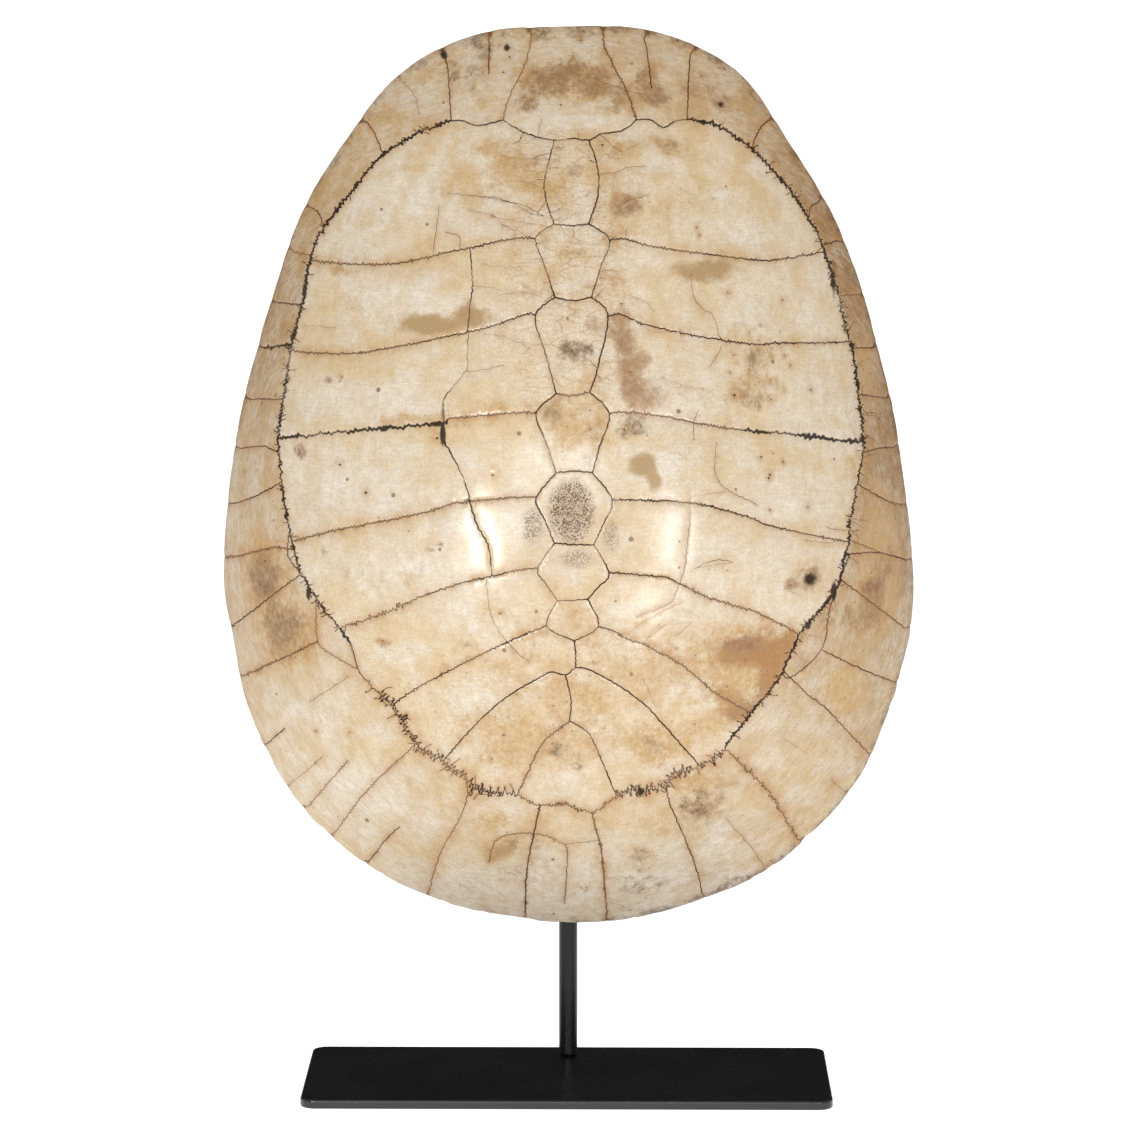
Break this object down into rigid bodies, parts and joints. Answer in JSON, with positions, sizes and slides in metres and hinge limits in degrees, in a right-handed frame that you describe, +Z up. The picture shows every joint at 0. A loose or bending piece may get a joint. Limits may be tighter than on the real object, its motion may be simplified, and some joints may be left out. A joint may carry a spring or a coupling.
{
  "type": "turtle shell on stand",
  "caption": "Domed bone carapace of a turtle, scutes removed, held upright in front of a black steel rod on a flat rectangular plate.",
  "frame": {"origin": "centre of the steel plate's underside", "axes": "+Z up along the rod and along the shell from tail to head; the shell's outer face looks towards -Y; +X is on the viewer's right"},
  "size_m": [0.4759, 0.1727, 0.7116],
  "materials": {
    "bone": "polished ivory-coloured bone with brown stains and dark sutures, satin gloss",
    "black_steel": "satin black paint",
    "zinc": "zinc-plated steel screws",
    "felt": "pressed charcoal felt"
  },
  "bodies": {
    "root": {"carapace": "bone", "base_plate": "black_steel", "upright_rod": "black_steel", "base_screw": "zinc", "upper_arm": "black_steel", "upper_disc": "black_steel", "upper_felt_pad": "felt", "upper_screw_top": "zinc", "upper_screw_bottom": "zinc", "lower_arm": "black_steel", "lower_disc": "black_steel", "lower_felt_pad": "felt", "lower_screw_top": "zinc", "lower_screw_bottom": "zinc"}
  },
  "joints": []
}
